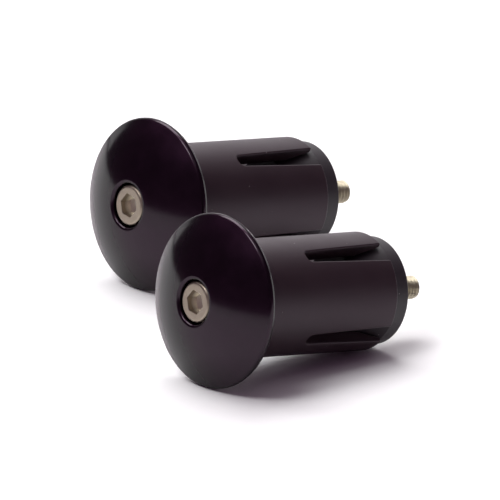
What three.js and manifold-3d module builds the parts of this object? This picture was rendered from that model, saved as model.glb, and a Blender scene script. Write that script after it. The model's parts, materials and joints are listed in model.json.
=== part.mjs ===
// A pair of expanding handlebar end plugs, lying side by side on a table.
//
// Turning the bolt pulls the wedge into the slit end of the sleeve, whose four fingers spread and grip
// the inside of the handlebar. Each plug is built along its own axis: x runs along the axis, 0 at the
// front edge of the cap's rim, and angles turn round it from straight up towards -y. Millimetres, +Z up.

import * as THREE from 'three';
import { mergeVertices } from 'three/addons/utils/BufferGeometryUtils.js';
import Module from 'manifold-3d';

// ---- driving dimensions ----

const GAP = 0.3; // clearance between pieces that touch on the real plug

const CAP_RADIUS = 14.8;
const CAP_EDGE_RADIUS = 0.4; // rounding of the rim's front and back edges
const RIM_THICKNESS = 1.25; // parallel band behind the dome
const DOME_HEIGHT = 4.7; // front edge of the rim to where the dome's tip would be
const COUNTERBORE_RADIUS = 4.15;
const SPIGOT_END = 5.5; // the spigot centres the sleeve behind the cap

const BOLT_RADIUS = 2; // M4
const BOLT_LENGTH = 45; // under the head
const HEAD_RADIUS = 3.5;
const HEAD_HEIGHT = 4;
const HEAD_CHAMFER = 0.3;
const HEX_ACROSS_FLATS = 3.6;
const HEX_DEPTH = 2.1;
const HEX_TURN = THREE.MathUtils.degToRad(-21.5);
const HEAD_FACE = -4; // just under the counterbore's edge

const SLEEVE_RADIUS = 10.05;
const SLEEVE_BORE = 7.75;
const SLEEVE_END = 32.7;
const SLOT_COUNT = 4;
const SLOT_ROOT = 14.7; // closed end of the slots
const SLOT_ROOT_WIDTH = 2.2;
const SLOT_END_WIDTH = 3.6; // the slots widen towards the open end
const SLOT_TURN = THREE.MathUtils.degToRad(34.5);

const WEDGE_RADIUS = 9.15;
const WEDGE_END = 35.7;
const WEDGE_SHOULDER = 33.3; // the cone ends here and the parallel band begins
const WEDGE_START = 26.5;
const CONE_SLOPE = Math.tan(THREE.MathUtils.degToRad(18));

const NUT_ACROSS_FLATS = 7; // M4
const NUT_THICKNESS = 3.2;
const NUT_SINK = 0.5; // how far the nut sits below the wedge's outer face

const REAR_PLUG_OFFSET = new THREE.Vector2(26.9, 49.3); // from the front plug, on the table

const ROUND_SEGMENTS = 40;
const BOLT_SEGMENTS = 20;

// ---- materials ----

const material = (color, roughness, metalness) =>
  new THREE.MeshStandardMaterial({ color, roughness, metalness });
const anodisedBlack = () => material(0x17141a, 0.28, 0.85);
const mouldedBlack = () => material(0x1b191d, 0.55, 0);
const stainless = () => material(0xb9b2a8, 0.3, 1);

// ---- solids ----

const wasm = await Module();
wasm.setup();

function toSolid(geometry) {
  geometry.deleteAttribute('normal');
  geometry.deleteAttribute('uv');
  const merged = mergeVertices(geometry);
  return new wasm.Manifold(
    new wasm.Mesh({
      numProp: 3,
      vertProperties: new Float32Array(merged.attributes.position.array),
      triVerts: new Uint32Array(merged.index.array),
    }),
  );
}

function toGeometry(solid) {
  const { vertProperties, triVerts } = solid.getMesh();
  const geometry = new THREE.BufferGeometry();
  geometry.setAttribute('position', new THREE.BufferAttribute(vertProperties, 3));
  geometry.setIndex(new THREE.BufferAttribute(triVerts, 1));
  return geometry;
}

// A body turned about the plug's axis, from an outline of [position along the axis, radius].
function turned(outline, segments) {
  const points = outline.map(([x, radius]) => new THREE.Vector2(radius, x));
  return toSolid(new THREE.LatheGeometry(points, segments).rotateZ(-Math.PI / 2));
}

// A quarter circle of outline points that rounds a corner, from one angle to another.
function rounding(x, radius, size, from, to, steps = 3) {
  return Array.from({ length: steps + 1 }, (_, i) => {
    const angle = THREE.MathUtils.degToRad(from + ((to - from) * i) / steps);
    return [x + size * Math.cos(angle), radius + size * Math.sin(angle)];
  });
}

// A hexagonal prism along the axis, with one corner turned from straight up by the given angle.
function hexagon(acrossFlats, start, end, turn) {
  const radius = acrossFlats / 2 / Math.cos(Math.PI / 6);
  const prism = new THREE.CylinderGeometry(radius, radius, end - start, 6);
  prism.rotateZ(-Math.PI / 2).translate((start + end) / 2, 0, 0);
  return toSolid(prism.rotateX(turn));
}

// ---- one function for each piece ----

function makeCap() {
  const sphere = (CAP_RADIUS ** 2 + DOME_HEIGHT ** 2) / (2 * DOME_HEIGHT);
  const dome = (radius) => sphere - DOME_HEIGHT - Math.sqrt(sphere ** 2 - radius ** 2);
  const domeSteps = 6;
  const outer = CAP_RADIUS - CAP_EDGE_RADIUS;
  const domeLine = Array.from({ length: domeSteps }, (_, i) => {
    const radius = COUNTERBORE_RADIUS + ((outer - COUNTERBORE_RADIUS) * i) / domeSteps;
    return [dome(radius), radius];
  });
  const floor = HEAD_FACE + HEAD_HEIGHT + GAP;
  const holeRadius = BOLT_RADIUS + GAP;
  const spigotRadius = SLEEVE_BORE - GAP;
  const seatRadius = SLEEVE_RADIUS + GAP; // a shallow recess takes the sleeve's front end
  const outline = [
    [floor, COUNTERBORE_RADIUS],
    ...domeLine,
    ...rounding(CAP_EDGE_RADIUS, outer, CAP_EDGE_RADIUS, 145, 90),
    ...rounding(RIM_THICKNESS - CAP_EDGE_RADIUS, outer, CAP_EDGE_RADIUS, 90, 0),
    [RIM_THICKNESS, seatRadius],
    [RIM_THICKNESS - GAP, seatRadius],
    [RIM_THICKNESS - GAP, spigotRadius],
    [SPIGOT_END, spigotRadius],
    [SPIGOT_END, holeRadius],
    [floor, holeRadius],
    [floor, COUNTERBORE_RADIUS],
  ];
  return turned(outline, ROUND_SEGMENTS);
}

function makeBolt() {
  const underHead = HEAD_FACE + HEAD_HEIGHT;
  const tip = underHead + BOLT_LENGTH;
  const outline = [
    [HEAD_FACE, 0],
    [HEAD_FACE, HEAD_RADIUS - HEAD_CHAMFER],
    [HEAD_FACE + HEAD_CHAMFER, HEAD_RADIUS],
    [underHead, HEAD_RADIUS],
    [underHead, BOLT_RADIUS],
    [tip - HEAD_CHAMFER, BOLT_RADIUS],
    [tip, BOLT_RADIUS - HEAD_CHAMFER],
    [tip, 0],
  ];
  const socket = hexagon(HEX_ACROSS_FLATS, HEAD_FACE - 1, HEAD_FACE + HEX_DEPTH, HEX_TURN);
  return turned(outline, BOLT_SEGMENTS).subtract(socket);
}

function sleeveBody(start, end) {
  const wedgeSeat = (x) => WEDGE_RADIUS - (WEDGE_SHOULDER - x) * CONE_SLOPE + GAP;
  const seatStart = WEDGE_SHOULDER - (WEDGE_RADIUS + GAP - SLEEVE_BORE) / CONE_SLOPE;
  const seat = end > seatStart ? [[end, wedgeSeat(end)], [seatStart, SLEEVE_BORE]] : [[end, SLEEVE_BORE]];
  const outline = [
    [start, SLEEVE_BORE],
    [start, SLEEVE_RADIUS],
    [end, SLEEVE_RADIUS],
    ...seat,
    [start, SLEEVE_BORE],
  ];
  return turned(outline, ROUND_SEGMENTS);
}

// One slot's cutter, pointing away from the axis: it has a round closed end and widens to the open end.
function slotCutter() {
  const outline = new THREE.Shape();
  const rootHalf = SLOT_ROOT_WIDTH / 2;
  const endHalf = SLOT_END_WIDTH / 2;
  outline.absarc(SLOT_ROOT + rootHalf, 0, rootHalf, Math.PI / 2, (3 * Math.PI) / 2);
  outline.lineTo(SLEEVE_END + 1, -endHalf);
  outline.lineTo(SLEEVE_END + 1, endHalf);
  const depth = SLEEVE_RADIUS + 1;
  return new THREE.ExtrudeGeometry(outline, { depth, bevelEnabled: false, curveSegments: 8 });
}

function makeSlots() {
  const step = (2 * Math.PI) / SLOT_COUNT;
  const cutters = Array.from({ length: SLOT_COUNT }, (_, i) =>
    toSolid(slotCutter().rotateX(SLOT_TURN + i * step)),
  );
  return cutters.reduce((all, cutter) => all.add(cutter));
}

function makeCollar(fingerRoot) {
  return sleeveBody(RIM_THICKNESS, fingerRoot - GAP).subtract(makeSlots());
}

// The fingers in order of angle: the first is centred half a step past the first slot.
function makeFingers(fingerRoot) {
  const step = (2 * Math.PI) / SLOT_COUNT;
  const fingers = sleeveBody(fingerRoot, SLEEVE_END).subtract(makeSlots()).decompose();
  const turnOf = (finger) => {
    const box = finger.boundingBox();
    const turn = Math.atan2(-(box.min[1] + box.max[1]), box.min[2] + box.max[2]);
    return (turn - SLOT_TURN + 2 * Math.PI) % (2 * Math.PI);
  };
  const byTurn = new Map(fingers.map((finger) => [Math.floor(turnOf(finger) / step), finger]));
  return Array.from({ length: SLOT_COUNT }, (_, i) => byTurn.get(i));
}

function nutPocketFloor() {
  return WEDGE_END - NUT_SINK - NUT_THICKNESS - GAP;
}

function makeWedge() {
  const startRadius = WEDGE_RADIUS - (WEDGE_SHOULDER - WEDGE_START) * CONE_SLOPE;
  const holeRadius = BOLT_RADIUS + GAP;
  const outline = [
    [WEDGE_START, holeRadius],
    [WEDGE_START, startRadius],
    [WEDGE_SHOULDER, WEDGE_RADIUS],
    [WEDGE_END, WEDGE_RADIUS],
    [WEDGE_END, holeRadius],
    [WEDGE_START, holeRadius],
  ];
  const pocket = hexagon(NUT_ACROSS_FLATS + 2 * GAP, nutPocketFloor(), WEDGE_END + 1, 0);
  return turned(outline, ROUND_SEGMENTS).subtract(pocket);
}

function makeNut() {
  const start = nutPocketFloor() + GAP;
  const end = start + NUT_THICKNESS;
  const thread = turned(
    [[start - 1, 0], [start - 1, BOLT_RADIUS + GAP], [end + 1, BOLT_RADIUS + GAP], [end + 1, 0]],
    BOLT_SEGMENTS,
  );
  return hexagon(NUT_ACROSS_FLATS, start, end, 0).subtract(thread);
}

// ---- assembly ----

// A plug lies on the back edge of its rim and on the end of its sleeve, so it tips down towards the bolt.
const RIM_REST = RIM_THICKNESS - CAP_EDGE_RADIUS;
const TILT = Math.atan((CAP_RADIUS - SLEEVE_RADIUS) / (SLEEVE_END - RIM_REST));

function makePlug(side) {
  const plug = new THREE.Group();
  const add = (name, solid, finish) => {
    const mesh = new THREE.Mesh(toGeometry(solid), finish);
    mesh.name = `${side}_${name}`;
    plug.add(mesh);
  };
  const fingerRoot = SLOT_ROOT + SLOT_ROOT_WIDTH / 2;
  add('cap', makeCap(), anodisedBlack());
  add('bolt', makeBolt(), stainless());
  add('sleeve_collar', makeCollar(fingerRoot), mouldedBlack());
  makeFingers(fingerRoot).forEach((finger, i) => add(`sleeve_finger_${i + 1}`, finger, mouldedBlack()));
  add('wedge', makeWedge(), mouldedBlack());
  add('nut', makeNut(), stainless());
  plug.rotation.y = TILT;
  return plug;
}

function makePair() {
  const pair = new THREE.Group();
  const right = makePlug('right');
  const left = makePlug('left');
  left.position.set(REAR_PLUG_OFFSET.x, REAR_PLUG_OFFSET.y, 0);
  pair.add(right, left);
  // The pair stands on z = 0 with the origin under its middle.
  const box = new THREE.Box3().setFromObject(pair, true);
  const middle = box.getCenter(new THREE.Vector3());
  pair.position.set(-middle.x, -middle.y, -box.min.z);
  return pair;
}

export default makePair();
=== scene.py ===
"""A pair of expanding handlebar end plugs on a pale table.

Each piece is modelled once on the bench, in millimetres. There z runs along the plug's axis, from 0
at the front edge of the cap's rim towards the bolt's tip, and x is up. The piece is then copied and
laid in its place in each of the two plugs.
"""
import json
import math

import bmesh
import bpy
from mathutils import Matrix, Vector


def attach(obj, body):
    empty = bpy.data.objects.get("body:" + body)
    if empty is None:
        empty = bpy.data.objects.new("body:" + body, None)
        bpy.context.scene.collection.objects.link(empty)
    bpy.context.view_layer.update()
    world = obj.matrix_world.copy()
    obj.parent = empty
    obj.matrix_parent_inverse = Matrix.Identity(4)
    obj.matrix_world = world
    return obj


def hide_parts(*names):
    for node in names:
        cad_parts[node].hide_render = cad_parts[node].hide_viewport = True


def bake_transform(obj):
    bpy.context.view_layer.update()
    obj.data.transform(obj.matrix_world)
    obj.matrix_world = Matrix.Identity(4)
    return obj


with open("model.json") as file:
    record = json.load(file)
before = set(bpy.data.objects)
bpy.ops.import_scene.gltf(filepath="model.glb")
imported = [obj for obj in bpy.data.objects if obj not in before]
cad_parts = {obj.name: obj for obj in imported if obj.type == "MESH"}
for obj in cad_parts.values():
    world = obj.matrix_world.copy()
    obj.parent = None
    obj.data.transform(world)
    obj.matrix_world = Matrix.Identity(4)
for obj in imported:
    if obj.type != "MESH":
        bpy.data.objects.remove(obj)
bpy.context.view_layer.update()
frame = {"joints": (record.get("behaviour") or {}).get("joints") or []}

MM = 0.001
SIDES = ("right", "left")

# ---- sizes in millimetres, and places along the axis; the two plugs are alike ----

CAP_RADIUS = 14.8
RIM_THICKNESS = 1.25
RIM_ROUNDING = 0.6
RIM_CHAMFER = 0.6
DOME_HEIGHT = 4.7
COUNTERBORE_RADIUS = 3.8
COUNTERBORE_FLOOR = 0.05
LIP_ROUNDING = 0.5
SEAT_DEPTH = 0.3
SEAT_GAP = 0.1
SPIGOT_RADIUS = 7.5
SPIGOT_END = 5.5
BOLT_HOLE_RADIUS = 2.25
DOME_STEPS = 18

BOLT_RADIUS = 1.98
THREAD_ROOT_RADIUS = 1.6
THREAD_PITCH = 0.7
THREAD_LENGTH = 20
BOLT_LENGTH = 45
HEAD_FACE = -4
HEAD_SEAT = 0
HEAD_RADIUS = 3.55
HEAD_ROUNDING = 0.62
HEX_SIZE = 3.6
HEX_DEPTH = 2.1
HEX_HOLLOW = 0.4
HEX_TURN = -21.5

SLEEVE_RADIUS = 10.05
SLEEVE_WALL = 2.3
SLEEVE_START = RIM_THICKNESS - SEAT_DEPTH + 0.02
SLEEVE_END = 32.7
SLEEVE_EDGE = 0.3
FINGERS = 4
SLOT_ROOT = 14.7
SLOT_ROOT_HALF = 1.1
SLOT_END_HALF = 1.8
SLOT_TURN = 34.5
SEAM = SLOT_ROOT + SLOT_ROOT_HALF
SEAT_START = 27.8
WALL_AT_END = 0.85

WEDGE_START = 26.5
WEDGE_START_RADIUS = 6.94
WEDGE_SHOULDER = 33.3
WEDGE_RADIUS = 9.15
WEDGE_END = 35.9

NUT_SIZE = 7
NUT_THICKNESS = 3.2
NUT_SINK = 0.5

# how far along the plug's axis the record puts the bolt's joint
BOLT_JOINT_PLACE = 20

# segments round large pieces, the nut, the bolt and holes, and steps in a rounded corner
ROUND = 128
NUT_ROUND = 96
BOLT_ROUND = 72
HOLE_ROUND = 48
THREAD_ROUND = 36
ARC_STEPS = 5
# an open outline starts this far from the axis, and what it leaves open is filled flat
CORE_RADIUS = 0.5
# how near two points merge
MERGE = 0.0005
# faces that meet at more than SHARP make an edge to round, in radians
SHARP = 0.8
# faces that meet at less than SMOOTH_ANGLE are shaded as one, in degrees
SMOOTH_ANGLE = 35


# ---- bench tools ----


def started(name):
    """Names the newest primitive and leaves it as the only selected object."""
    piece = bpy.context.object
    bpy.ops.object.select_all(action="DESELECT")
    piece.select_set(True)
    piece.name = name
    return piece


def edit(piece):
    """Opens a piece in edit mode, selecting by vertices."""
    bpy.ops.object.mode_set(mode="OBJECT")
    bpy.ops.object.select_all(action="DESELECT")
    piece.select_set(True)
    bpy.context.view_layer.objects.active = piece
    bpy.ops.object.mode_set(mode="EDIT")
    bpy.ops.mesh.select_mode(type="VERT")


def pick(piece, kind, test):
    """In edit mode, selects just the vertices, edges or faces that pass the test."""
    bpy.ops.mesh.select_mode(type=kind)
    bpy.ops.mesh.select_all(action="DESELECT")
    mesh = bmesh.from_edit_mesh(piece.data)
    for part in {"VERT": mesh.verts, "EDGE": mesh.edges, "FACE": mesh.faces}[kind]:
        if test(part):
            part.select_set(True)
    mesh.select_flush_mode()
    bmesh.update_edit_mesh(piece.data)


def clean(piece):
    """Merges doubled vertices, turns every face outwards and leaves edit mode."""
    edit(piece)
    bpy.ops.mesh.select_all(action="SELECT")
    bpy.ops.mesh.remove_doubles(threshold=MERGE)
    bpy.ops.mesh.normals_make_consistent(inside=False)
    # a thin curved wall can come out of that inside out
    if bmesh.from_edit_mesh(piece.data).calc_volume(signed=True) < 0:
        bpy.ops.mesh.flip_normals()
    bpy.ops.object.mode_set(mode="OBJECT")


def apply(piece, kind, **settings):
    """Adds a modifier to a piece and applies it."""
    bpy.context.view_layer.objects.active = piece
    modifier = piece.modifiers.new(kind, kind)
    for name, value in settings.items():
        setattr(modifier, name, value)
    bpy.ops.object.modifier_apply(modifier=modifier.name)


def cut(piece, tool, operation="DIFFERENCE"):
    """Cuts, joins or keeps what two pieces share, and throws the tool away."""
    apply(piece, "BOOLEAN", object=tool, operation=operation, solver="MANIFOLD")
    bpy.data.objects.remove(tool)
    clean(piece)


def smooth(piece):
    """Shades a finished piece: round faces run together, flat ones stay flat."""
    bpy.ops.object.select_all(action="DESELECT")
    piece.select_set(True)
    bpy.context.view_layer.objects.active = piece
    bpy.ops.object.shade_smooth_by_angle(angle=math.radians(SMOOTH_ANGLE))
    apply(piece, "WEIGHTED_NORMAL", keep_sharp=True, weight=80)


def rounded(corners):
    """An outline from (place, radius, rounding) corners, with an arc at each rounded one."""
    outline = []
    for index, (place, radius, size) in enumerate(corners):
        here = Vector((radius, place))
        if not size:
            outline.append(here)
            continue
        before = (Vector(corners[index - 1][1::-1]) - here).normalized()
        after = (Vector(corners[(index + 1) % len(corners)][1::-1]) - here).normalized()
        half = before.angle(after) / 2
        middle = here + (before + after).normalized() * size / math.sin(half)
        first = here + before * size / math.tan(half) - middle
        last = here + after * size / math.tan(half) - middle
        sweep = math.pi - 2 * half
        for step in range(ARC_STEPS + 1):
            share = step / ARC_STEPS * sweep
            arm = first * math.sin(sweep - share) + last * math.sin(share)
            outline.append(middle + arm / math.sin(sweep))
    return outline


def turned(name, corners, closed=False, segments=ROUND):
    """A turned piece: its outline is drawn point by point and spun round the axis.

    A closed outline makes a ring. An open one is filled flat where it ends.
    """
    outline = rounded(corners)
    if closed:
        outline.append(outline[0])
    bpy.ops.mesh.primitive_plane_add(size=1)
    piece = started(name)
    edit(piece)
    bpy.ops.mesh.select_all(action="SELECT")
    bpy.ops.mesh.merge(type="CENTER")
    bpy.ops.transform.translate(value=(outline[0].x, 0, outline[0].y))
    for last, point in zip(outline, outline[1:]):
        step = point - last
        bpy.ops.mesh.extrude_vertices_move(TRANSFORM_OT_translate={"value": (step.x, 0, step.y)})
    bpy.ops.mesh.select_all(action="SELECT")
    bpy.ops.mesh.spin(steps=segments, angle=2 * math.pi, center=(0, 0, 0), axis=(0, 0, 1))
    clean(piece)
    edit(piece)
    bpy.ops.mesh.select_all(action="SELECT")
    bpy.ops.mesh.fill_holes(sides=0)
    clean(piece)
    return piece


def hexagon(name, size, start, end, turn=0.0):
    """A hexagonal bar along the axis, with a corner turned from straight up by so many degrees."""
    radius = size / 2 / math.cos(math.radians(30))
    bpy.ops.mesh.primitive_cylinder_add(
        vertices=6, radius=radius, depth=end - start, location=(0, 0, (start + end) / 2),
        rotation=(0, 0, math.radians(turn - 30)),
    )
    piece = started(name)
    bpy.ops.object.transform_apply(location=True, rotation=True, scale=True)
    return piece


def round_edges(piece, size, test, steps=3):
    """Rounds the edges that pass the test."""
    edit(piece)
    pick(piece, "EDGE", test)
    bpy.ops.mesh.bevel(offset=size, segments=steps, affect="EDGES", clamp_overlap=False)
    bpy.ops.object.mode_set(mode="OBJECT")


def at_place(edge, place, low=0.0, high=99.0):
    """True for an edge that lies at a place along the axis, between two radii."""
    return all(
        abs(vert.co.z - place) < MERGE and low <= math.hypot(vert.co.x, vert.co.y) <= high
        for vert in edge.verts
    )


# ---- pieces of one plug, on the bench ----


def dome_place(radius):
    """How far along the axis the domed face lies at a radius."""
    sphere = (CAP_RADIUS**2 + DOME_HEIGHT**2) / (2 * DOME_HEIGHT)
    return sphere - DOME_HEIGHT - math.sqrt(sphere**2 - radius**2)


def make_cap():
    """The domed cap: a counterbore in its face, a seat for the sleeve and a spigot behind it."""
    dome = []
    for step in range(1, DOME_STEPS):
        radius = COUNTERBORE_RADIUS + (CAP_RADIUS - COUNTERBORE_RADIUS) * step / DOME_STEPS
        dome.append((dome_place(radius), radius, 0))
    seat_radius = SLEEVE_RADIUS + SEAT_GAP
    cap = turned("cap", [
        (COUNTERBORE_FLOOR, BOLT_HOLE_RADIUS, 0.15),
        (COUNTERBORE_FLOOR, COUNTERBORE_RADIUS, 0.2),
        (dome_place(COUNTERBORE_RADIUS), COUNTERBORE_RADIUS, LIP_ROUNDING),
        *dome,
        (0, CAP_RADIUS, RIM_ROUNDING),
        (RIM_THICKNESS - RIM_CHAMFER, CAP_RADIUS, 0.15),
        (RIM_THICKNESS, CAP_RADIUS - RIM_CHAMFER / 2, 0.15),
        (RIM_THICKNESS, seat_radius, 0.06),
        (RIM_THICKNESS - SEAT_DEPTH, seat_radius, 0.06),
        (RIM_THICKNESS - SEAT_DEPTH, SPIGOT_RADIUS, 0.2),
        (SPIGOT_END, SPIGOT_RADIUS, 0.4),
        (SPIGOT_END, BOLT_HOLE_RADIUS, 0.2),
    ], closed=True)
    smooth(cap)
    return cap


def make_thread(start, end):
    """A helical thread between two places, closed flat at both ends."""
    # two flanks, a narrow crest and a narrower root make up the pitch
    flank = THREAD_PITCH * 0.42
    crest = THREAD_PITCH * 0.12
    outline = [
        (0, THREAD_ROOT_RADIUS),
        (flank, BOLT_RADIUS),
        (flank + crest, BOLT_RADIUS),
        (2 * flank + crest, THREAD_ROOT_RADIUS),
        (THREAD_PITCH, THREAD_ROOT_RADIUS),
    ]
    # two turns too many at each end, to be cut off flat
    base = start - 2 * THREAD_PITCH
    bpy.ops.mesh.primitive_plane_add(size=1)
    thread = started("thread")
    edit(thread)
    bpy.ops.mesh.select_all(action="SELECT")
    bpy.ops.mesh.merge(type="CENTER")
    bpy.ops.transform.translate(value=(outline[0][1], 0, base))
    for (last, last_radius), (place, radius) in zip(outline, outline[1:]):
        move = (radius - last_radius, 0, place - last)
        bpy.ops.mesh.extrude_vertices_move(TRANSFORM_OT_translate={"value": move})
    bpy.ops.object.mode_set(mode="OBJECT")
    turns = math.ceil((end - start) / THREAD_PITCH) + 4
    apply(
        thread, "SCREW", axis="Z", angle=2 * math.pi, screw_offset=THREAD_PITCH,
        iterations=turns, steps=THREAD_ROUND, render_steps=THREAD_ROUND,
        use_merge_vertices=True, merge_threshold=MERGE,
    )
    clean(thread)
    for place, outwards in ((start, -1), (end, 1)):
        edit(thread)
        bpy.ops.mesh.select_all(action="SELECT")
        bpy.ops.mesh.bisect(
            plane_co=(0, 0, place), plane_no=(0, 0, outwards), clear_outer=True, use_fill=True,
        )
    clean(thread)
    return thread


def make_bolt():
    """The socket head bolt: head and plain shank, a run-out groove, then the thread."""
    tip = HEAD_SEAT + BOLT_LENGTH
    thread_start = tip - THREAD_LENGTH
    groove_radius = THREAD_ROOT_RADIUS - 0.15
    bolt = turned("bolt", [
        (HEAD_FACE, CORE_RADIUS, 0),
        (HEAD_FACE, HEAD_RADIUS, HEAD_ROUNDING),
        (HEAD_SEAT, HEAD_RADIUS, 0.1),
        (HEAD_SEAT, BOLT_RADIUS, 0.15),
        (thread_start, BOLT_RADIUS, 0),
        (thread_start + 0.8, groove_radius, 0),
        (thread_start + 1.5, groove_radius, 0),
    ], segments=BOLT_ROUND)
    # the envelope of the thread, with its chamfered point
    point = turned("point", [
        (thread_start + 0.2, CORE_RADIUS, 0),
        (thread_start + 0.2, BOLT_RADIUS + 0.1, 0),
        (tip - 0.45, BOLT_RADIUS + 0.1, 0),
        (tip, THREAD_ROOT_RADIUS, 0.15),
        (tip, CORE_RADIUS, 0),
    ], segments=BOLT_ROUND)
    cut(point, make_thread(thread_start - 1, tip + 1), "INTERSECT")
    cut(bolt, point, "UNION")
    cut(bolt, hexagon("key", HEX_SIZE, HEAD_FACE - 1, HEAD_FACE + HEX_DEPTH, HEX_TURN))
    # the socket's floor is a shallow hollow left by the punch
    cut(bolt, turned("dished", [
        (HEAD_FACE + 1, 0.02, 0),
        (HEAD_FACE + 1, HEX_SIZE / 2 - 0.02, 0),
        (HEAD_FACE + HEX_DEPTH, HEX_SIZE / 2 - 0.02, 0),
        (HEAD_FACE + HEX_DEPTH + HEX_HOLLOW, 0.02, 0),
    ], segments=HOLE_ROUND))
    # the socket's mouth
    round_edges(bolt, 0.09, lambda edge: (
        at_place(edge, HEAD_FACE, HEX_SIZE / 2 - 0.1, HEX_SIZE / 2 + 0.4)
    ), steps=2)
    clean(bolt)
    smooth(bolt)
    return bolt


def slot_half(place):
    """Half a slot's width: a round closed end that opens into a slow taper."""
    if place <= SEAM:
        return math.sqrt(max(0, SLOT_ROOT_HALF**2 - (SEAM - place)**2))
    share = (place - SEAM) / (SLEEVE_END - SEAM)
    return SLOT_ROOT_HALF + (SLOT_END_HALF - SLOT_ROOT_HALF) * share


def make_sleeve_sheet():
    """A quarter of the sleeve's outer skin, centred on a finger: laid out flat, then bent round."""
    root_arc = [SEAM - SLOT_ROOT_HALF * math.cos(math.radians(turn)) for turn in range(0, 90, 15)]
    rows = 16
    uncut_middle = 8
    finger = [SEAM + (SLEEVE_END - SEAM) * step / rows for step in range(rows + 1)]
    places = sorted([SLEEVE_START, uncut_middle, *root_arc, *finger, SEAT_START])
    quarter = SLEEVE_RADIUS * math.pi / 4
    bpy.ops.mesh.primitive_grid_add(
        x_subdivisions=48, y_subdivisions=len(places) - 1, size=2, rotation=(math.pi / 2, 0, 0),
    )
    sheet = started("sheet")
    bpy.ops.object.transform_apply(location=False, rotation=True, scale=False)
    gap = 2 / (len(places) - 1)
    edit(sheet)
    # from the far end back, so that no row lands on one still to be moved
    for index in range(len(places) - 1, -1, -1):
        row = index * gap - 1
        place = places[index]
        half = quarter - (slot_half(place) if place > SLOT_ROOT else 0)
        pick(sheet, "VERT", lambda vert: abs(vert.co.z - row) < gap / 4)
        bpy.ops.transform.resize(value=(half, 1, 1), center_override=(0, 0, 0))
        bpy.ops.transform.translate(value=(0, 0, place - row))
    bpy.ops.object.mode_set(mode="OBJECT")
    apply(sheet, "SIMPLE_DEFORM", deform_method="BEND", deform_axis="Z", angle=math.pi / 2)
    edit(sheet)
    bpy.ops.mesh.select_all(action="SELECT")
    bpy.ops.transform.translate(value=(0, -SLEEVE_RADIUS, 0))
    # the middle of the sheet goes from -y to straight up, along +x
    bpy.ops.object.mode_set(mode="OBJECT")
    sheet.rotation_euler = (0, 0, math.pi / 2)
    bpy.ops.object.transform_apply(location=True, rotation=True, scale=True)
    return sheet


def copied(piece, name, turn=0.0):
    """A copy with its own mesh, turned round the axis by so many degrees."""
    bpy.ops.object.select_all(action="DESELECT")
    piece.select_set(True)
    bpy.context.view_layer.objects.active = piece
    bpy.ops.object.duplicate()
    copy = started(name)
    copy.rotation_euler = (0, 0, math.radians(turn))
    bpy.ops.object.transform_apply(location=True, rotation=True, scale=True)
    return copy


def finger_turn(number):
    """How far finger 0, 1, 2 or 3 is turned from straight up, in degrees."""
    return SLOT_TURN + (number + 0.5) * 360 / FINGERS


def make_collar(sheet):
    """The sleeve's uncut part, as far as the ends of the slots' round roots."""
    quarters = [copied(sheet, "quarter", finger_turn(number)) for number in range(FINGERS)]
    for quarter in quarters:
        quarter.select_set(True)
    bpy.ops.object.join()
    collar = started("collar")
    edit(collar)
    pick(collar, "FACE", lambda face: face.calc_center_median().z > SEAM)
    bpy.ops.mesh.delete(type="FACE")
    clean(collar)
    apply(collar, "SOLIDIFY", thickness=SLEEVE_WALL, offset=-1)
    clean(collar)
    round_edges(collar, 0.15, lambda edge: (
        at_place(edge, SLEEVE_START) and edge.calc_face_angle(0) > SHARP
    ))
    round_edges(collar, SLEEVE_EDGE, lambda edge: (
        edge.calc_face_angle(0) > SHARP
        and min(vert.co.z for vert in edge.verts) > SLOT_ROOT - 0.2
        and not at_place(edge, SEAM)
    ))
    clean(collar)
    smooth(collar)
    return collar


def make_finger(sheet):
    """One finger, centred straight up, with a seat for the wedge's cone inside its end."""
    finger = copied(sheet, "finger")
    edit(finger)
    pick(finger, "FACE", lambda face: face.calc_center_median().z < SEAM)
    bpy.ops.mesh.delete(type="FACE")
    bpy.ops.object.mode_set(mode="OBJECT")
    wall = finger.vertex_groups.new(name="wall")
    for vert in finger.data.vertices:
        share = max(0, vert.co.z - SEAT_START) / (SLEEVE_END - SEAT_START)
        wall.add([vert.index], 1 - share * (1 - WALL_AT_END / SLEEVE_WALL), "REPLACE")
    apply(finger, "SOLIDIFY", thickness=SLEEVE_WALL, offset=-1, vertex_group="wall")
    round_edges(finger, SLEEVE_EDGE, lambda edge: (
        edge.calc_face_angle(0) > SHARP and not at_place(edge, SEAM)
    ))
    clean(finger)
    smooth(finger)
    return finger


def make_wedge():
    """The wedge: a cone and a short band, a hole right through and the nut's pocket in its end."""
    wedge = turned("wedge", [
        (WEDGE_START, 3, 0),
        (WEDGE_START, WEDGE_START_RADIUS, 0.3),
        (WEDGE_SHOULDER, WEDGE_RADIUS, 0.25),
        (WEDGE_END, WEDGE_RADIUS, 0.3),
        (WEDGE_END, 3, 0),
    ])
    floor = WEDGE_END - NUT_SINK - NUT_THICKNESS
    cut(wedge, hexagon("pocket", NUT_SIZE + 0.15, floor, WEDGE_END + 1))
    hole = turned("hole", [
        (WEDGE_START - 1, CORE_RADIUS, 0),
        (WEDGE_START - 1, BOLT_HOLE_RADIUS, 0),
        (floor + 1, BOLT_HOLE_RADIUS, 0),
        (floor + 1, CORE_RADIUS, 0),
    ], segments=HOLE_ROUND)
    cut(wedge, hole)
    # the pocket's mouth
    round_edges(wedge, 0.12, lambda edge: (
        at_place(edge, WEDGE_END, 0, NUT_SIZE / 2 + 1) and edge.calc_face_angle(0) > SHARP
    ))
    clean(wedge)
    smooth(wedge)
    return wedge


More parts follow.
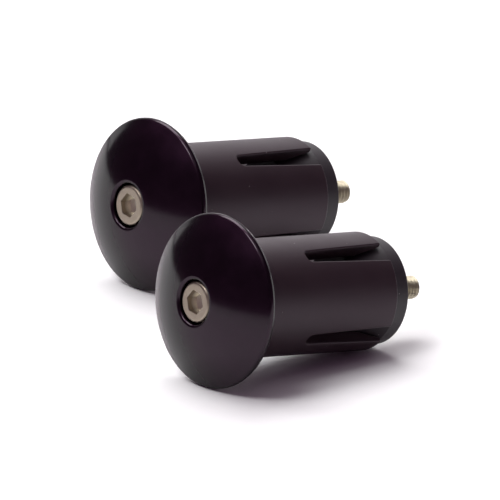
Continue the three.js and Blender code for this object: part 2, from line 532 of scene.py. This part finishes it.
def make_nut():
    """The hexagon nut, chamfered at both ends, with a countersunk hole."""
    end = WEDGE_END - NUT_SINK
    start = end - NUT_THICKNESS + 0.02
    corner = NUT_SIZE / 2 / math.cos(math.radians(30))
    nut = hexagon("nut", NUT_SIZE, start, end)
    chamfered = turned("chamfered", [
        (start - 0.4, CORE_RADIUS, 0),
        (start - 0.4, corner - 1.4, 0),
        (start + 0.4, corner + 0.05, 0),
        (end - 0.4, corner + 0.05, 0),
        (end + 0.4, corner - 1.4, 0),
        (end + 0.4, CORE_RADIUS, 0),
    ], segments=NUT_ROUND)
    cut(nut, chamfered, "INTERSECT")
    hole = turned("hole", [
        (start - 1, CORE_RADIUS, 0),
        (start - 1, BOLT_RADIUS + 1, 0),
        (start + 0.3, BOLT_RADIUS + 0.1, 0),
        (end - 0.3, BOLT_RADIUS + 0.1, 0),
        (end + 1, BOLT_RADIUS + 1, 0),
        (end + 1, CORE_RADIUS, 0),
    ], segments=HOLE_ROUND)
    cut(nut, hole)
    smooth(nut)
    return nut


# ---- places ----


def plug_placement(side):
    """The matrix that lays a piece from the bench in its place in one of the plugs."""
    name = f"{side}_bolt_turn"
    joint = next(joint for joint in frame["joints"] if joint["name"] == name)
    along = Vector(joint["axis"]).normalized()
    up = (Vector((0, 0, 1)) - along * along.z).normalized()
    start = Vector(joint["pos_m"]) - along * BOLT_JOINT_PLACE * MM
    turn = Matrix((up, along.cross(up), along)).transposed().to_4x4()
    return Matrix.Translation(start) @ turn @ Matrix.Scale(MM, 4)


PLACEMENTS = {side: plug_placement(side) for side in SIDES}


def lay(piece, side, name):
    """A copy of a bench piece, laid in its plug with its place in its mesh."""
    copy = copied(piece, f"{side}_{name}_piece")
    copy.matrix_world = PLACEMENTS[side]
    bpy.ops.object.transform_apply(location=True, rotation=True, scale=True)
    return copy


# ---- materials ----


def linear(hex_colour):
    """A colour from its sRGB hex value."""
    channels = [int(hex_colour[start:start + 2], 16) / 255 for start in (1, 3, 5)]
    return (*[c / 12.92 if c <= 0.04045 else ((c + 0.055) / 1.055)**2.4 for c in channels], 1)


def add_node(tree, kind, inputs=(), **settings):
    """Adds a node with its settings. Its inputs are values, or other nodes' outputs to link."""
    node = tree.nodes.new(kind)
    for name, value in settings.items():
        setattr(node, name, value)
    for socket, value in dict(inputs).items():
        if isinstance(value, bpy.types.NodeSocket):
            tree.links.new(value, node.inputs[socket])
        else:
            node.inputs[socket].default_value = value
    return node


def new_material(name):
    """An empty material and its node tree."""
    material = bpy.data.materials.new(name)
    material.use_nodes = True
    material.node_tree.nodes.clear()
    return material, material.node_tree


def bench_coordinates(tree, side):
    """Object coordinates, turned and centred on a plug: millimetres, with z along its axis."""
    place, turn, scale = PLACEMENTS[side].inverted().decompose()
    texture = add_node(tree, "ShaderNodeTexCoord")
    return add_node(tree, "ShaderNodeMapping", {
        "Vector": texture.outputs["Object"],
        "Location": place,
        "Rotation": turn.to_euler(),
        "Scale": scale,
    }, vector_type="POINT").outputs["Vector"]


def anodised_aluminium(side):
    """Black anodised aluminium, turned: dark dyed oxide under a glossy skin, faint tool rings."""
    material, tree = new_material(f"black_anodised_turned_aluminium_{side}")
    where = bench_coordinates(tree, side)
    # the dye takes unevenly, in clouds about 3 mm across
    blotches = add_node(tree, "ShaderNodeTexNoise", {
        "Vector": where, "Scale": 0.35, "Detail": 3.0,
    })
    colour = add_node(tree, "ShaderNodeMix", {
        "Factor": blotches.outputs["Fac"], "A": linear("#1c0d19"), "B": linear("#251422"),
    }, data_type="RGBA")
    # tool rings every 0.25 mm, coarser than the real 0.1 mm feed so that they show:
    # a wave's rings are a twentieth of a full turn apart at a scale of 1
    rings = add_node(tree, "ShaderNodeTexWave", {
        "Vector": where, "Scale": 2 * math.pi / 20 / 0.25,
        "Distortion": 0.6, "Detail": 2.0, "Detail Scale": 1.5,
    }, wave_type="RINGS", rings_direction="Z")
    roughness = add_node(tree, "ShaderNodeMapRange", {
        "Value": blotches.outputs["Fac"], "From Min": 0.3, "From Max": 0.7,
        "To Min": 0.3, "To Max": 0.38,
    })
    bump = add_node(tree, "ShaderNodeBump", {
        "Height": rings.outputs["Fac"], "Strength": 0.05, "Distance": 0.01 * MM,
    })
    shader = add_node(tree, "ShaderNodeBsdfPrincipled", {
        "Base Color": colour.outputs["Result"],
        "Metallic": 1.0,
        "Roughness": roughness.outputs["Result"],
        "Normal": bump.outputs["Normal"],
        "Specular Tint": linear("#9c8795"),
        "Coat Weight": 0.56,
        "Coat Roughness": 0.14,
        "Coat IOR": 1.45,
    })
    add_node(tree, "ShaderNodeOutputMaterial", {"Surface": shader.outputs["BSDF"]})
    return material


def moulded_nylon(name, dark, light, roughness, sheen):
    """Black glass-filled nylon, moulded: satin, finely grained, with flow marks and stray dust."""
    material, tree = new_material(name)
    texture = add_node(tree, "ShaderNodeTexCoord")
    where = texture.outputs["Object"]
    # flow marks about 8 mm across, grain about 0.3 mm
    clouds = add_node(tree, "ShaderNodeTexNoise", {
        "Vector": where, "Scale": 1 / (8 * MM), "Detail": 4.0,
    })
    grain = add_node(tree, "ShaderNodeTexNoise", {
        "Vector": where, "Scale": 1 / (0.3 * MM), "Detail": 2.0,
    })
    colour = add_node(tree, "ShaderNodeMix", {
        "Factor": clouds.outputs["Fac"], "A": linear(dark), "B": linear(light),
    }, data_type="RGBA")
    # one speck of dust in each 3 mm cube, 0.15 mm across: it shows where the surface meets it
    spacing = 3 * MM
    speck_radius = 0.075 * MM
    specks = add_node(tree, "ShaderNodeTexVoronoi", {"Vector": where, "Scale": 1 / spacing})
    dusty = add_node(tree, "ShaderNodeMath", {
        0: specks.outputs["Distance"], 1: speck_radius / spacing,
    }, operation="LESS_THAN")
    colour = add_node(tree, "ShaderNodeMix", {
        "Factor": dusty.outputs["Value"],
        "A": colour.outputs["Result"],
        "B": linear("#8f8a86"),
    }, data_type="RGBA")
    gloss = add_node(tree, "ShaderNodeMapRange", {
        "Value": clouds.outputs["Fac"], "From Min": 0.3, "From Max": 0.7,
        "To Min": roughness - 0.04, "To Max": roughness + 0.04,
    })
    bump = add_node(tree, "ShaderNodeBump", {
        "Height": grain.outputs["Fac"], "Strength": 0.25, "Distance": 0.02 * MM,
    })
    shader = add_node(tree, "ShaderNodeBsdfPrincipled", {
        "Base Color": colour.outputs["Result"],
        "Roughness": gloss.outputs["Result"],
        "IOR": 1.53,
        "Specular IOR Level": 0.38,
        "Specular Tint": linear(sheen),
        "Normal": bump.outputs["Normal"],
    })
    add_node(tree, "ShaderNodeOutputMaterial", {"Surface": shader.outputs["BSDF"]})
    return material


def stainless_steel(side):
    """Cold-formed stainless steel: a dull warm head and a cleaner thread, with painted light that
    brightens the socket's floor.
    """
    material, tree = new_material(f"cold_formed_stainless_steel_{side}")
    where = bench_coordinates(tree, side)
    # die marks about 0.8 mm across, scuffs about 0.12 mm
    mottle = add_node(tree, "ShaderNodeTexNoise", {
        "Vector": where, "Scale": 1 / 0.8, "Detail": 4.0,
    })
    scuffs = add_node(tree, "ShaderNodeTexNoise", {
        "Vector": where, "Scale": 1 / 0.12, "Detail": 3.0,
    })
    dull = add_node(tree, "ShaderNodeMix", {
        "Factor": mottle.outputs["Fac"], "A": linear("#8c8071"), "B": linear("#a1978a"),
    }, data_type="RGBA")
    rolled = add_node(tree, "ShaderNodeMix", {
        "Factor": mottle.outputs["Fac"], "A": linear("#b1a892"), "B": linear("#c9c1ac"),
    }, data_type="RGBA")
    place = add_node(tree, "ShaderNodeSeparateXYZ", {"Vector": where})
    shank = add_node(tree, "ShaderNodeMapRange", {
        "Value": place.outputs["Z"], "From Min": 0.0, "From Max": 4.0,
        "To Min": 0.0, "To Max": 1.0,
    })
    # painted light: near the socket's floor the colour is painted near white, fading out up its
    # walls, to lighten a recess that lies in shade
    depth = add_node(tree, "ShaderNodeVectorMath", {
        0: where, 1: (0, 0, HEAD_FACE + HEX_DEPTH + 0.2),
    }, operation="DISTANCE")
    painted_socket_light = add_node(tree, "ShaderNodeMapRange", {
        "Value": depth.outputs["Value"], "From Min": 1.85, "From Max": 2.4,
        "To Min": 1.0, "To Max": 0.0,
    })
    colour = add_node(tree, "ShaderNodeMix", {
        "Factor": shank.outputs["Result"],
        "A": dull.outputs["Result"],
        "B": rolled.outputs["Result"],
    }, data_type="RGBA")
    # painted light: the near-white colour goes into the socket here
    colour = add_node(tree, "ShaderNodeMix", {
        "Factor": painted_socket_light.outputs["Result"],
        "A": colour.outputs["Result"],
        "B": linear("#f8f3e6"),
    }, data_type="RGBA")
    gloss = add_node(tree, "ShaderNodeMapRange", {
        "Value": mottle.outputs["Fac"], "From Min": 0.3, "From Max": 0.7,
        "To Min": 0.34, "To Max": 0.44,
    })
    bump = add_node(tree, "ShaderNodeBump", {
        "Height": scuffs.outputs["Fac"], "Strength": 0.2, "Distance": 0.01 * MM,
    })
    shader = add_node(tree, "ShaderNodeBsdfPrincipled", {
        "Base Color": colour.outputs["Result"],
        "Metallic": 1.0,
        "Roughness": gloss.outputs["Result"],
        "Normal": bump.outputs["Normal"],
    })
    add_node(tree, "ShaderNodeOutputMaterial", {"Surface": shader.outputs["BSDF"]})
    return material


def table_paper():
    """Matt white paper: rough, with a faint tooth, drawn 2 mm across so that it shows at all."""
    material, tree = new_material("matt_white_paper")
    texture = add_node(tree, "ShaderNodeTexCoord")
    tooth = add_node(tree, "ShaderNodeTexNoise", {
        "Vector": texture.outputs["Object"], "Scale": 1 / (2 * MM),
    })
    colour = add_node(tree, "ShaderNodeMix", {
        "Factor": tooth.outputs["Fac"], "A": linear("#f4f4f4"), "B": linear("#f7f7f7"),
    }, data_type="RGBA")
    shader = add_node(tree, "ShaderNodeBsdfPrincipled", {
        "Base Color": colour.outputs["Result"], "Roughness": 0.9,
    })
    add_node(tree, "ShaderNodeOutputMaterial", {"Surface": shader.outputs["BSDF"]})
    return material


# ---- assembly ----


def finish_piece(piece, material, node):
    """Gives a laid piece its material, and lets it stand for its node."""
    piece.data.materials.clear()
    piece.data.materials.append(material)
    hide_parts(node)


def lay_fingers(finger, side, material):
    """Lays the four fingers, each turned to its place round the axis."""
    for number in range(1, FINGERS + 1):
        turned_finger = copied(finger, "turned_finger", finger_turn(number - 1))
        placed = lay(turned_finger, side, f"sleeve_finger_{number}")
        bpy.data.objects.remove(turned_finger)
        finish_piece(placed, material, f"{side}_sleeve_finger_{number}")
        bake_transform(placed)


def build_plugs():
    """Makes each piece once on the bench, and lays copies of them in both plugs."""
    cap = make_cap()
    bolt = make_bolt()
    sheet = make_sleeve_sheet()
    collar = make_collar(sheet)
    finger = make_finger(sheet)
    wedge = make_wedge()
    nut = make_nut()
    nylon = moulded_nylon("moulded_black_nylon", "#1e1317", "#281b20", 0.46, "#efdcec")
    wedge_nylon = moulded_nylon(
        "moulded_black_nylon_wedge", "#1e181c", "#272025", 0.48, "#fdfdff",
    )
    for side in SIDES:
        steel = stainless_steel(side)
        rigid_pieces = (
            (cap, "cap", anodised_aluminium(side), "cap", "shell"),
            (collar, "sleeve_collar", nylon, "sleeve", "shell"),
            (bolt, "bolt", steel, "fastener", "bolt"),
            (wedge, "wedge", wedge_nylon, "wedge", "wedge"),
            (nut, "nut", steel, "fastener", "wedge"),
        )
        for piece, name, material, slot_name, body in rigid_pieces:
            placed = lay(piece, side, name)
            finish_piece(placed, material, f"{side}_{name}")
            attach(placed, f"{side}_{body}")
        lay_fingers(finger, side, nylon)
    for bench_piece in (cap, bolt, sheet, collar, finger, wedge, nut):
        bpy.data.objects.remove(bench_piece)


build_plugs()


# ---- table, light and camera ----

# in degrees, metres and, for the lens, millimetres: the view's middle is right of the front
# plug's rim and above it
VIEW_AZIMUTH = -40.4
VIEW_ELEVATION = 17.3
VIEW_DISTANCE = 3.2
VIEW_END = 20
LENS = 1373
AIM_RIGHT = 6.25 * MM
AIM_UP = 8.54 * MM
TABLE_SIZE = 6


def make_table():
    """A plain pale table top."""
    bpy.ops.mesh.primitive_plane_add(size=TABLE_SIZE, location=(0, 0, 0))
    table = started("table")
    bpy.ops.object.mode_set(mode="EDIT")
    bpy.ops.mesh.subdivide(number_cuts=8)
    bpy.ops.object.mode_set(mode="OBJECT")
    table.data.materials.append(table_paper())


def make_light(name, place, size, power):
    """A flat soft light that faces the plugs: place and size in metres, power in watts."""
    light = bpy.data.lights.new(name, "AREA")
    light.shape = "RECTANGLE"
    light.size, light.size_y = size
    light.energy = power
    lamp = bpy.data.objects.new(name, light)
    lamp.location = place
    lamp.rotation_euler = (-Vector(place)).to_track_quat("-Z", "Y").to_euler()
    bpy.context.scene.collection.objects.link(lamp)


def make_camera():
    """A long lens, from in front of the plugs and to their left."""
    turn, rise = math.radians(VIEW_AZIMUTH), math.radians(VIEW_ELEVATION)
    flat = math.cos(rise)
    back = Vector((math.sin(turn) * flat, -math.cos(turn) * flat, math.sin(rise)))
    facing = (-back).to_track_quat("-Z", "Y")
    right, up = facing @ Vector((1, 0, 0)), facing @ Vector((0, 1, 0))
    rim_centre = PLACEMENTS["right"] @ Vector((0, 0, 0))
    data = bpy.data.cameras.new("camera")
    data.lens = LENS
    data.clip_end = VIEW_END
    camera = bpy.data.objects.new("camera", data)
    camera.rotation_euler = facing.to_euler()
    camera.location = rim_centre + right * AIM_RIGHT + up * AIM_UP + back * VIEW_DISTANCE
    bpy.context.scene.collection.objects.link(camera)
    bpy.context.scene.camera = camera


def make_world():
    """A dim, faintly purple room round the lights."""
    world = bpy.data.worlds.new("room")
    world.use_nodes = True
    background = world.node_tree.nodes["Background"]
    background.inputs["Color"].default_value = linear("#c79bc2")
    background.inputs["Strength"].default_value = 0.2
    bpy.context.scene.world = world


make_table()
make_light("top_softbox", (0.1, 0.5, 0.9), (1.0, 0.6), 11)
make_light("ceiling", (0, 0, 1.6), (2.0, 2.0), 5)
make_light("front_lamp", (-0.55, 0.02, 1.07), (0.45, 0.45), 5)
make_light("back_wall", (0.78, 0.91, 0.5), (2.4, 1.0), 8)
make_world()
make_camera()
bpy.context.scene.view_settings.view_transform = "Standard"
